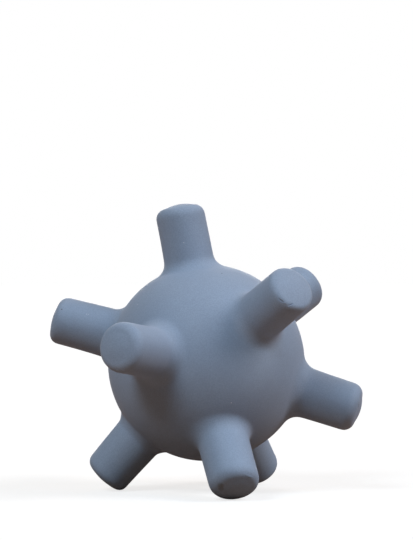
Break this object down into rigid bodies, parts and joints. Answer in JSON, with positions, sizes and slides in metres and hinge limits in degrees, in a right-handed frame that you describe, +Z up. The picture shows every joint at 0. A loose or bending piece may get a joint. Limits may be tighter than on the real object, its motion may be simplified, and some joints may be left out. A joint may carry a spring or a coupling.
{
  "type": "sensory ball",
  "caption": "Soft hollow silicone ball for a baby, with blunt round pegs all round and a loose rattle capsule of beads sealed inside.",
  "frame": {"origin": "on the floor, straight below the centre of the ball, at the bottom centre of the bounding box, with the ball at rest on the rims of three peg tips", "axes": "+Z up; +X along the level direction of the pole axis, towards the lower pole peg; Y across, and y = 0 is a mirror plane of the ball"},
  "size_m": [0.0988, 0.0946, 0.0908],
  "materials": {
    "silicone": "matte",
    "adhesive": "satin",
    "capsule": "satin",
    "beads": "gloss"
  },
  "bodies": {
    "ball": {"left_half": "silicone", "right_half": "silicone", "seam_bond": "adhesive"},
    "capsule": {"rattle_cup": "capsule", "rattle_lid": "capsule"},
    "bead_1": {"bead_1": "beads"},
    "bead_2": {"bead_2": "beads"},
    "bead_3": {"bead_3": "beads"},
    "bead_4": {"bead_4": "beads"},
    "bead_5": {"bead_5": "beads"}
  },
  "joints": [
    {"name": "capsule_roll", "type": "hinge", "parent": "ball", "child": "capsule", "pos_m": [0, 0, 0.04067], "axis": [0, 1, 0], "continuous": true},
    {"name": "bead_1_roll", "type": "hinge", "parent": "capsule", "child": "bead_1", "pos_m": [0, 0, 0.02987], "axis": [1, 0, 0], "continuous": true},
    {"name": "bead_2_roll", "type": "hinge", "parent": "capsule", "child": "bead_2", "pos_m": [0, 0, 0.02987], "axis": [1, 0, 0], "continuous": true},
    {"name": "bead_3_roll", "type": "hinge", "parent": "capsule", "child": "bead_3", "pos_m": [0, 0, 0.02987], "axis": [1, 0, 0], "continuous": true},
    {"name": "bead_4_roll", "type": "hinge", "parent": "capsule", "child": "bead_4", "pos_m": [0, 0, 0.02987], "axis": [1, 0, 0], "continuous": true},
    {"name": "bead_5_roll", "type": "hinge", "parent": "capsule", "child": "bead_5", "pos_m": [0, 0, 0.02987], "axis": [1, 0, 0], "continuous": true}
  ]
}
